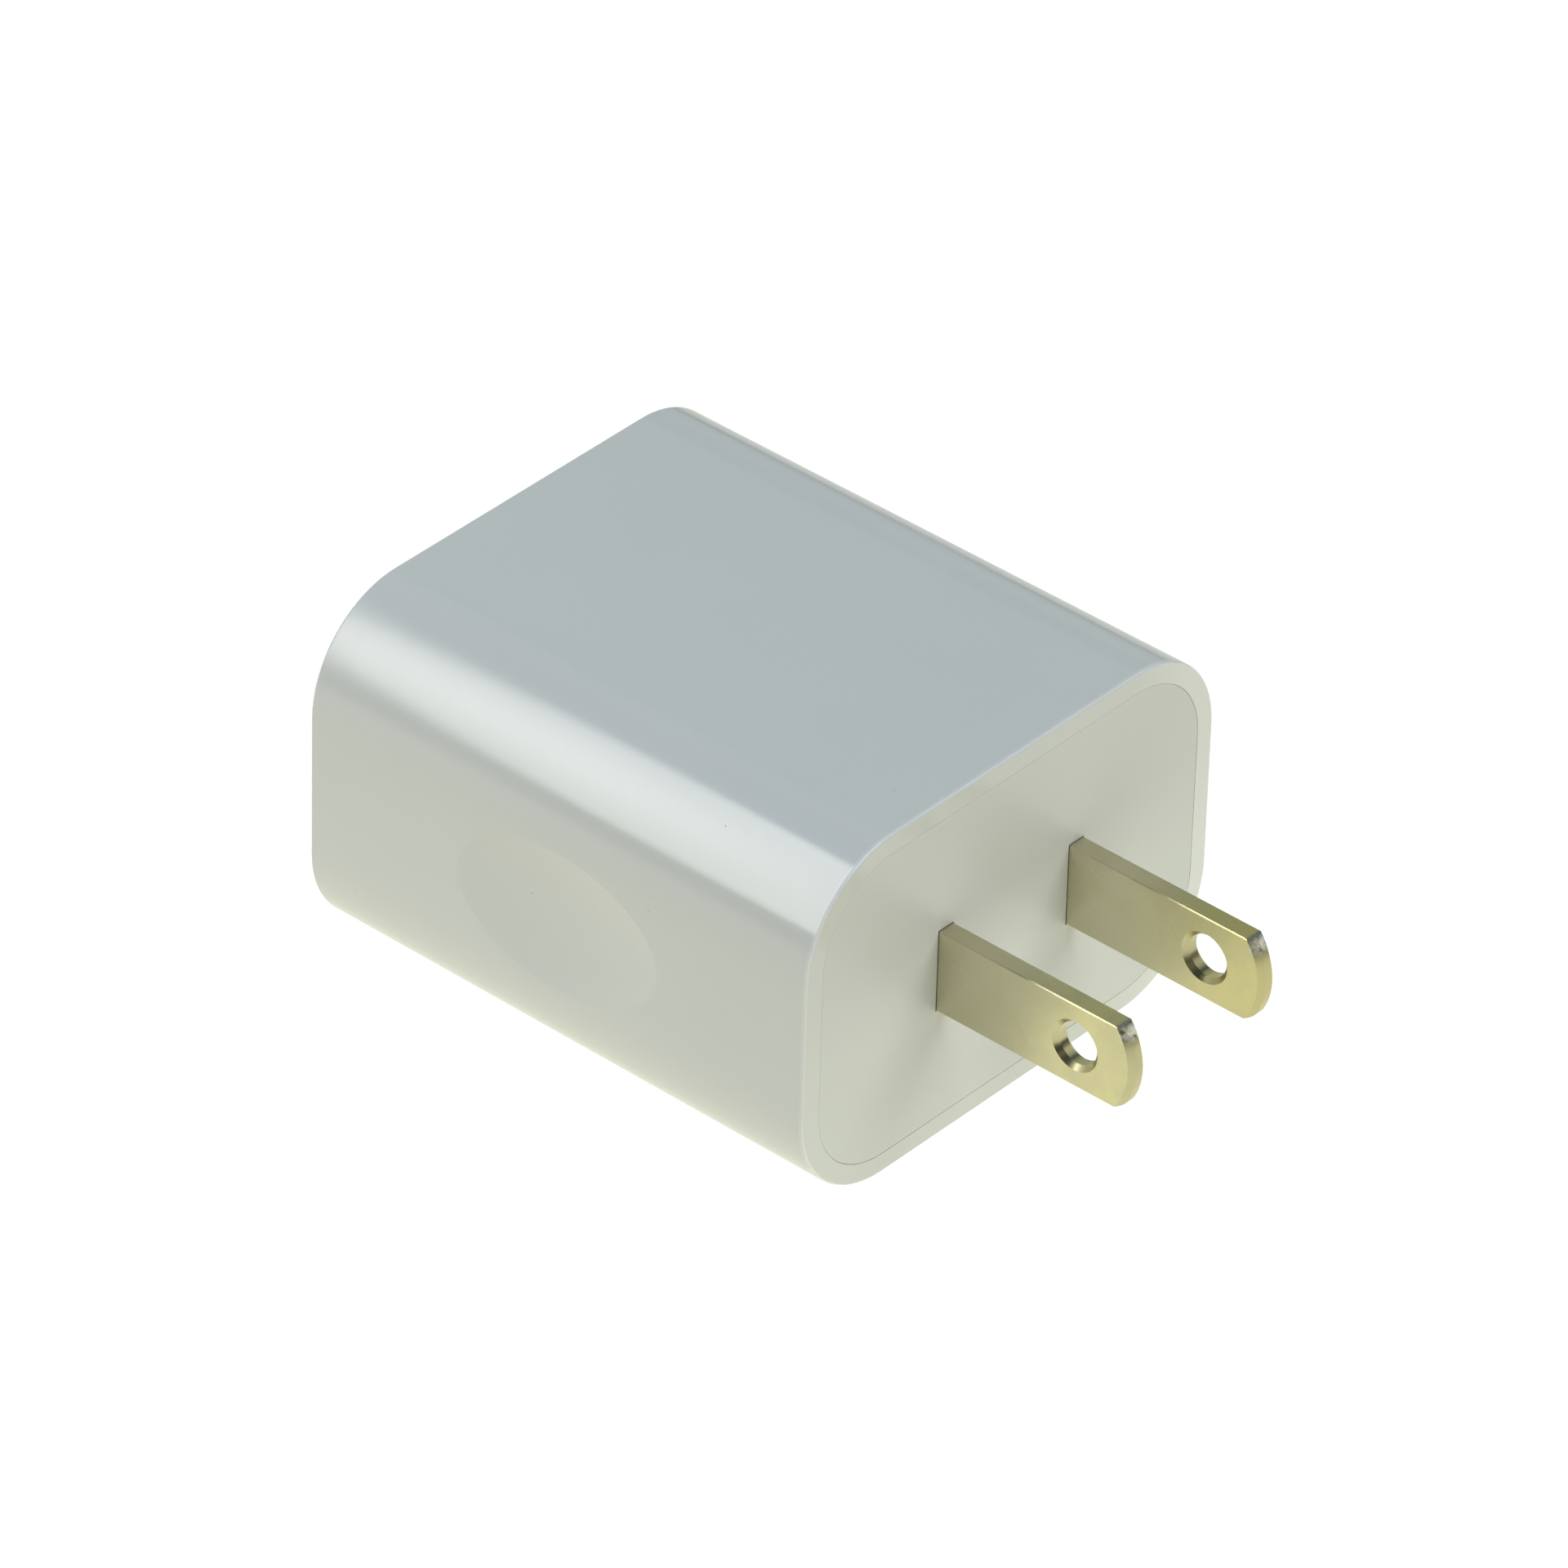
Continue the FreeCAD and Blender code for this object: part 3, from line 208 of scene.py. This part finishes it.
# Both strips hang at one place and make the highlight along the case's upper right edge.
HIGH_PLACE = (0.30, -0.295, 0.32)
HIGH_TARGET = (0.0, -0.02, 0.0)
HIGH_UPRIGHT = (-0.72, 0.0, 0.69)
STRIP_WIDTH = 0.088
LAMPS = {
    "long_strip": {
        "place": HIGH_PLACE,
        "target": HIGH_TARGET,
        "upright": HIGH_UPRIGHT,
        "size": (STRIP_WIDTH, 0.60),
        "power": 0.89,
        "color": (0.995, 1.0, 0.94),
    },
    "short_strip": {
        "place": HIGH_PLACE,
        "target": HIGH_TARGET,
        "upright": HIGH_UPRIGHT,
        "size": (STRIP_WIDTH, 0.22),
        "power": 0.69,
        "color": (1.0, 0.97, 1.0),
    },
    "front_box": {
        "place": (-0.10, 0.45, 0.35),
        "target": (0.0, 0.0, 0.0),
        "size": (0.35, 0.35),
        "power": 1.22,
        "color": (0.993, 1.0, 0.96),
    },
    "back_box": {
        "place": (-0.45, -0.40, 0.42),
        "target": (0.0, -0.02, 0.0),
        "size": (0.50, 0.50),
        "power": 0.31,
        "color": (0.92, 1.0, 0.75),
    },
    "tip_box": {
        "place": (-0.37, 0.27, 0.40),
        "target": (0.0, 0.01, 0.0),
        "size": (0.35, 0.35),
        "power": 0.17,
        "color": (1.0, 1.0, 0.85),
    },
    "low_box": {
        "place": (-0.60, -0.45, 0.115),
        "target": (0.0, -0.02, 0.0),
        "size": (0.55, 0.24),
        "power": 0.25,
        "color": (0.95, 1.0, 0.96),
    },
    "lens_side_box": {
        "place": (0.60, 0.50, 0.56),
        "target": (0.0, 0.0, 0.0),
        "size": (0.45, 0.45),
        "power": 0.14,
        "color": (1.0, 0.98, 0.80),
    },
}


def make_lamp(name, place, target, size, power, color, upright=(0, 0, 1)):
    """A soft box at place that faces target, with its long side as near upright as facing allows."""
    data = bpy.data.lights.new(name, "AREA")
    data.shape = "RECTANGLE"
    data.size, data.size_y = size
    data.energy = power
    data.color = color
    lamp = bpy.data.objects.new(name, data)
    scene.collection.objects.link(lamp)
    back = (Vector(place) - Vector(target)).normalized()
    side = Vector(upright).cross(back).normalized()
    turn = Matrix((side, back.cross(side), back)).transposed().to_4x4()
    lamp.matrix_world = Matrix.Translation(place) @ turn


def make_world():
    """A dark room under one bluish overhead tent. The lens sees it as plain white."""
    world = bpy.data.worlds.new("studio")
    world.use_nodes = True
    t = Tree(world.node_tree)
    height = t.axes(t.node("TexCoord").outputs["Generated"])["Z"]
    tent = t.remap(height, ZENITH_FROM, 1.0)
    seen = t.node("LightPath").outputs["Is Camera Ray"]
    sky = world.node_tree.nodes["Background"]
    t.feed(sky.inputs["Color"], t.mix(seen, t.mix(tent, ROOM, ZENITH), WHITE))
    scene.world = world


def make_floor():
    """A plain white table. It throws a warm light back that is strongest round the object's footprint."""
    z = cad_box[0].z - FLOOR_BELOW
    corners = [(FLOOR_HALF * x, FLOOR_HALF * y, z) for x, y in ((-1, -1), (1, -1), (1, 1), (-1, 1))]
    mesh = bpy.data.meshes.new("floor")
    mesh.from_pydata(corners, [], [(0, 1, 2, 3)])
    floor = bpy.data.objects.new("floor", mesh)
    scene.collection.objects.link(floor)
    look = Look("floor_white")
    seen = look.node("LightPath").outputs["Is Camera Ray"]
    across, along = (look.axes(look.places)[k] for k in "XY")
    beyond_x = look.math("SUBTRACT", look.math("ABSOLUTE", across), cad_box[1].x)
    middle = cad_box[0].y / 2
    offset = look.math("ABSOLUTE", look.math("SUBTRACT", along, middle))
    beyond_y = look.math("ADD", offset, middle)
    gap_x, gap_y = (look.math("MAXIMUM", value, 0.0) for value in (beyond_x, beyond_y))
    gap = look.math("SQRT", look.math("ADD", look.square(gap_x), look.square(gap_y)))
    fade = look.math(
        "ADD",
        look.remap(gap, TABLE_NEAR, TABLE_REACH, 1.0, FAR_GLOW, smooth=True),
        look.remap(gap, 0.0, NEAR_REACH, NEAR_GLOW, 0.0, smooth=True),
    )
    look.set(
        Base_Color=(0.12, 0.12, 0.11),
        Roughness=0.9,
        Specular_IOR_Level=0.1,
        Emission_Color=look.mix(seen, TABLE_GLOW, WHITE),
        Emission_Strength=look.mix(seen, fade, WHITE),
    )
    mesh.materials.append(look.material)


make_world()
make_floor()
for name, settings in LAMPS.items():
    make_lamp(name, **settings)


# ---------------------------------------------------------------- materials
TINNED = (0.58, 0.58, 0.56)
POLYCARBONATE = 1.585
BOARD_TOP = -0.0076
# Where along Y the rim's paler colour, a painted light, comes in, and where the rub marks at the port's
# mouth fade out.
RIM_FACE = (-0.0004, -0.0001)
PORT_MOUTH = (-0.0418, -0.0405)
RESISTOR_BODY = (0.27, 0.32, 0.23)
BROWN_BAND = (0.10, 0.03, 0.015)


def case_plastic(look):
    """Glossy white moulding, faintly cloudy with a few dark specks; its rim and end edges are painted paler
    as painted light.
    """
    p = look.places
    x, y = (look.axes(p)[k] for k in "XY")
    cloud = look.noise(p, 0.012, 4)
    fine = look.noise(p, 0.0004, 2)
    white = look.mix(cloud, (0.662, 0.678, 0.645), (0.690, 0.706, 0.673))
    speckled = look.mix(look.specks(0.0045, 0.018), white, (0.42, 0.42, 0.38))
    # Painted light: the end rim is painted paler than the rest of the case, and paler still towards -X.
    far_side_painted_light_mask = look.remap(x, -0.010, -0.018, smooth=True)
    rim_painted_light = look.mix(far_side_painted_light_mask, (0.780, 0.795, 0.745), (0.900, 0.915, 0.860))
    speckled_with_painted_rim_light = look.mix(look.remap(y, *RIM_FACE), speckled, rim_painted_light)
    look.set(
        # Painted highlight: where the surface leans between the Y axis and across it, the end edges are
        # painted near white.
        Base_Color=look.mix(look.slanted("Y"), speckled_with_painted_rim_light, (0.98, 0.99, 0.98)),
        Roughness=look.spread(cloud, 0.14, 0.18),
        IOR=POLYCARBONATE,
        Normal=look.bump(fine, 0.03, 0.00002),
    )


def cap_plastic(look):
    """The cap's moulding: a little duller than the case, with the same specks."""
    p = look.places
    cloud = look.noise(p, 0.009, 4)
    fine = look.noise(p, 0.00025, 3)
    white = look.mix(cloud, (0.748, 0.762, 0.716), (0.777, 0.792, 0.744))
    look.set(
        Base_Color=look.mix(look.specks(0.0050, 0.016), white, (0.45, 0.45, 0.40)),
        Roughness=look.spread(cloud, 0.30, 0.38),
        IOR=POLYCARBONATE,
        Normal=look.bump(fine, 0.06, 0.00002),
    )


def blade_plate(look):
    """Warm nickel plate, browner at the root, stained in patches and scuffed at the tip's upper corner; the
    two tips' differing tints are painted light.
    """
    p = look.places
    x, y, z = (look.axes(p)[k] for k in "XYZ")
    stain = look.noise(p, 0.0030, 4)
    grain = look.streaks(p, (0.0002, 0.0012, 0.0002), 3)
    scuff = look.noise(p, 0.0003, 3)
    # Painted light: the tip colour differs between the two blades, chosen by X; the yellow itself is the
    # plate's own colour.
    tip = look.mix(look.remap(x, -0.001, 0.001), (0.650, 0.590, 0.310), (0.690, 0.635, 0.375))
    plate = look.mix(look.remap(y, 0.004, 0.014, smooth=True), (0.615, 0.574, 0.418), tip)
    patches = look.remap(stain, 0.40, 0.68, 0.0, 0.5, smooth=True)
    stained = look.mix(patches, plate, (0.575, 0.535, 0.350))
    corner = look.math("MULTIPLY", look.remap(y, 0.0146, 0.0152), look.remap(z, 0.0020, 0.0026))
    worn = look.math("MULTIPLY", corner, look.remap(scuff, 0.40, 0.55))
    duller = look.math("MULTIPLY", worn, 0.25)
    relief = look.mix(corner, look.math("MULTIPLY", grain, 0.3), scuff)
    look.set(
        Base_Color=look.mix(worn, stained, (0.76, 0.76, 0.73)),
        Metallic=1.0,
        Roughness=look.math("ADD", look.spread(stain, 0.24, 0.32), duller),
        Normal=look.bump(relief, 0.05, 0.00003),
    )


def strip_metal(look):
    """Bare spring bronze, rolled along its length and slightly tarnished."""
    p = look.places
    tarnish = look.noise(p, 0.0020, 4)
    grain = look.streaks(p, (0.0010, 0.0001, 0.0010), 3)
    look.set(
        Base_Color=look.mix(tarnish, (0.52, 0.30, 0.10), (0.70, 0.44, 0.17)),
        Metallic=1.0,
        Roughness=look.spread(grain, 0.24, 0.38),
        Normal=look.bump(grain, 0.15, 0.00003),
    )


def board(look):
    """Green solder mask over raised copper areas and woven glass."""
    p = look.places
    x, y, z = (look.axes(p)[k] for k in "XYZ")
    inputs = {"Vector": p, "Scale": 1 / 0.0042}
    cells = look.node("TexVoronoi", inputs, feature="DISTANCE_TO_EDGE").outputs["Distance"]
    tracks = look.remap(cells, 0.06, 0.09, smooth=True)
    across = look.waves(look.math("ADD", x, z), 0.0005)
    weave = look.math("MULTIPLY", across, look.waves(y, 0.0005))
    mask = look.mix(tracks, (0.008, 0.062, 0.020), (0.014, 0.100, 0.034))
    look.set(
        Base_Color=look.mix(look.remap(weave, -1.0, 1.0, 0.0, 0.25), mask, (0.030, 0.135, 0.050)),
        Roughness=look.spread(look.noise(p, 0.004, 3), 0.28, 0.42),
        Normal=look.bump(tracks, 0.5, 0.00004),
    )


def solder(look):
    """Tin solder that froze with a dimpled, partly dull skin."""
    skin = look.noise(look.places, 0.0004, 4)
    look.set(
        Base_Color=look.mix(skin, (0.56, 0.56, 0.55), (0.74, 0.74, 0.73)),
        Metallic=1.0,
        Roughness=look.spread(skin, 0.16, 0.42),
        Normal=look.bump(skin, 0.25, 0.00006),
    )


def port_metal(look):
    """Nickel-plated sheet, drawn along the port, with rub marks at the mouth."""
    p = look.places
    grain = look.streaks(p, (0.0001, 0.0030, 0.0001), 3)
    haze = look.noise(p, 0.0025, 3)
    mouth = look.remap(look.axes(p)["Y"], *PORT_MOUTH, 0.12, 0.0)
    look.set(
        Base_Color=look.mix(haze, (0.60, 0.59, 0.56), (0.70, 0.69, 0.66)),
        Metallic=1.0,
        Roughness=look.math("ADD", look.spread(grain, 0.18, 0.30), mouth),
        Normal=look.bump(grain, 0.12, 0.00003),
    )


def port_plastic(look):
    """White moulding with a fine spark-eroded texture."""
    p = look.places
    cloud = look.noise(p, 0.004, 3)
    fine = look.noise(p, 0.00012, 2)
    look.set(
        Base_Color=look.mix(cloud, (0.66, 0.67, 0.65), (0.71, 0.72, 0.70)),
        Roughness=look.spread(fine, 0.42, 0.52),
        Normal=look.bump(fine, 0.2, 0.00002),
    )


def port_contacts(look):
    """Gold flash over nickel, with wipe marks along the contact."""
    p = look.places
    wipe = look.streaks(p, (0.0001, 0.0040, 0.0001), 3)
    look.set(
        Base_Color=look.mix(wipe, (0.72, 0.50, 0.19), (0.84, 0.62, 0.27)),
        Metallic=1.0,
        Roughness=look.spread(wipe, 0.16, 0.30),
        Normal=look.bump(wipe, 0.1, 0.00002),
    )


def can_sleeve(look):
    """A dark shrunk sleeve with a pale polarity stripe, a scored bare top and bare leads."""
    p = look.places
    x, y, z = (look.axes(look.spans)[k] for k in "XYZ")
    off_x, off_y = look.math("SUBTRACT", x, 0.5), look.math("SUBTRACT", y, 0.5)
    out = look.math("SQRT", look.math("ADD", look.square(off_x), look.square(off_y)))
    top = look.math("MULTIPLY", look.remap(z, 0.975, 0.980), look.remap(out, 0.41, 0.40))
    nearest = look.math("MINIMUM", look.math("ABSOLUTE", off_x), look.math("ABSOLUTE", off_y))
    score = look.math("MULTIPLY", look.remap(nearest, 0.020, 0.010), look.remap(out, 0.33, 0.32))
    stripe = look.remap(x, 0.90, 0.91)
    leads = look.remap(look.axes(p)["Z"], BOARD_TOP + 0.00005, BOARD_TOP)
    bare = look.math("MAXIMUM", top, leads)
    wrinkle = look.streaks(p, (0.0015, 0.0015, 0.0060), 3)
    sleeve = look.mix(wrinkle, (0.007, 0.009, 0.018), (0.013, 0.016, 0.029))
    striped = look.mix(stripe, sleeve, (0.42, 0.43, 0.44))
    # Painted shade: the score lines are painted darker than the bare top, as shade in their grooves.
    metal = look.mix(look.math("MULTIPLY", score, top), TINNED, (0.30, 0.30, 0.29))
    look.set(
        Base_Color=look.mix(bare, striped, metal),
        Metallic=bare,
        Roughness=look.spread(wrinkle, 0.26, 0.36),
        Normal=look.bump(look.mix(score, wrinkle, (0.0, 0.0, 0.0)), 0.3, 0.00008),
    )


def disc_ceramic(look):
    """Blue dipped lacquer with a wavy skin, on bare leads."""
    p = look.places
    skin = look.noise(p, 0.0016, 3)
    leads = look.remap(look.axes(p)["Z"], BOARD_TOP + 0.0006, BOARD_TOP + 0.0004)
    blue = look.mix(skin, (0.012, 0.066, 0.270), (0.022, 0.095, 0.350))
    look.set(
        Base_Color=look.mix(leads, blue, TINNED),
        Metallic=leads,
        Roughness=look.spread(skin, 0.20, 0.32),
        Normal=look.bump(skin, 0.3, 0.00010),
    )


BANDS = (
    (0.00, RESISTOR_BODY),
    (0.28, BROWN_BAND),
    (0.33, RESISTOR_BODY),
    (0.40, (0.01, 0.01, 0.01)),
    (0.45, RESISTOR_BODY),
    (0.52, BROWN_BAND),
    (0.57, RESISTOR_BODY),
    (0.68, (0.45, 0.28, 0.05)),
    (0.73, RESISTOR_BODY),
)


def resistor_body(look):
    """Grey-green lacquer with painted value bands, on bare leads."""
    p = look.places
    x = look.axes(look.spans)["X"]
    ramp = look.node("ValToRGB", {"Fac": x})
    ramp.color_ramp.interpolation = "CONSTANT"
    stops = ramp.color_ramp.elements
    while len(stops) < len(BANDS):
        stops.new(0.5)
    for stop, (start, color) in zip(stops, BANDS):
        stop.position = start
        stop.color = (*color, 1)
    leads = look.remap(look.math("ABSOLUTE", look.math("SUBTRACT", x, 0.5)), 0.322, 0.326)
    skin = look.noise(p, 0.0008, 3)
    look.set(
        Base_Color=look.mix(leads, ramp.outputs["Color"], TINNED),
        Metallic=leads,
        Roughness=look.spread(skin, 0.34, 0.48),
        Normal=look.bump(skin, 0.25, 0.00005),
    )


def chip_plastic(look):
    """Black moulding compound with a fine sandy skin."""
    p = look.places
    cloud = look.noise(p, 0.0020, 3)
    sand = look.noise(p, 0.00012, 2)
    look.set(
        Base_Color=look.mix(cloud, (0.011, 0.011, 0.012), (0.020, 0.020, 0.021)),
        Roughness=look.spread(cloud, 0.48, 0.62),
        Normal=look.bump(sand, 0.3, 0.00003),
    )


def chip_ceramic(look):
    """Fired tan ceramic with tinned ends."""
    p = look.places
    y = look.axes(look.spans)["Y"]
    ends = look.remap(look.math("ABSOLUTE", look.math("SUBTRACT", y, 0.5)), 0.29, 0.31)
    body = look.mix(look.noise(p, 0.0004, 3), (0.13, 0.09, 0.05), (0.20, 0.14, 0.08))
    look.set(
        Base_Color=look.mix(ends, body, TINNED),
        Metallic=ends,
        Roughness=look.spread(look.noise(p, 0.0002, 2), 0.30, 0.45),
        Normal=look.bump(ends, 0.4, 0.00003),
    )


def ferrite(look):
    """Sintered ferrite: dark, grainy, with ground patches that shine a little."""
    p = look.places
    grain = look.noise(p, 0.0003, 4)
    ground = look.noise(p, 0.0030, 2)
    look.set(
        Base_Color=look.mix(grain, (0.014, 0.014, 0.016), (0.028, 0.028, 0.030)),
        Roughness=look.remap(ground, 0.35, 0.65, 0.42, 0.64),
        Normal=look.bump(grain, 0.3, 0.00004),
    )


def copper_wire(look):
    """Turns of enamelled wire laid side by side round an upright axis."""
    p = look.places
    turns = look.waves(look.axes(p)["Z"], 0.00028)
    enamel = look.noise(p, 0.0015, 3)
    copper = look.mix(enamel, (0.40, 0.12, 0.030), (0.56, 0.20, 0.060))
    look.set(
        # Painted shade: the troughs between neighbouring turns are painted dark.
        Base_Color=look.mix(look.remap(turns, -1.0, -0.4, 0.7, 0.0), copper, (0.10, 0.025, 0.008)),
        Metallic=0.8,
        Roughness=look.spread(enamel, 0.22, 0.34),
        Normal=look.bump(turns, 0.8, 0.00010),
    )


def coil_tape(look):
    """Yellow polyester tape, wound in two widths and slightly creased."""
    p = look.places
    crease = look.streaks(p, (0.0020, 0.0020, 0.0100), 3)
    lap = look.remap(look.waves(look.axes(p)["Z"], 0.0062), 0.96, 0.99)
    yellow = look.mix(crease, (0.62, 0.41, 0.02), (0.71, 0.49, 0.04))
    look.set(
        Base_Color=look.mix(lap, yellow, (0.42, 0.27, 0.012)),
        Roughness=look.spread(crease, 0.22, 0.36),
        Normal=look.bump(crease, 0.3, 0.00008),
    )


def bobbin_plastic(look):
    """Black phenolic with pale flow lines."""
    p = look.places
    flow = look.streaks(p, (0.0005, 0.0030, 0.0010), 4)
    look.set(
        Base_Color=look.mix(flow, (0.010, 0.010, 0.010), (0.024, 0.023, 0.021)),
        Roughness=look.spread(flow, 0.32, 0.50),
        Normal=look.bump(flow, 0.15, 0.00004),
    )


def sheet(look):
    """Milky insulating film with soft waves."""
    p = look.places
    wave = look.noise(p, 0.0060, 2)
    haze = look.noise(p, 0.0010, 3)
    look.set(
        Base_Color=look.mix(haze, (0.76, 0.76, 0.69), (0.82, 0.82, 0.76)),
        Roughness=look.spread(haze, 0.28, 0.40),
        Normal=look.bump(wave, 0.3, 0.00020),
    )


PAINTS = (
    case_plastic,
    cap_plastic,
    blade_plate,
    strip_metal,
    board,
    solder,
    port_metal,
    port_plastic,
    port_contacts,
    can_sleeve,
    disc_ceramic,
    resistor_body,
    chip_plastic,
    chip_ceramic,
    ferrite,
    copper_wire,
    coil_tape,
    bobbin_plastic,
    sheet,
)


def dress_nodes():
    """Give each node the look that is named after its material slot."""
    paint_of = {paint.__name__: paint for paint in PAINTS}
    made = {}
    for node in nodes.values():
        slot = node.material_slots[0].material.name
        if slot not in made:
            made[slot] = Look(slot + "_look")
            paint_of[slot](made[slot])
        node.material_slots[0].link = "OBJECT"
        node.material_slots[0].material = made[slot].material


dress_nodes()
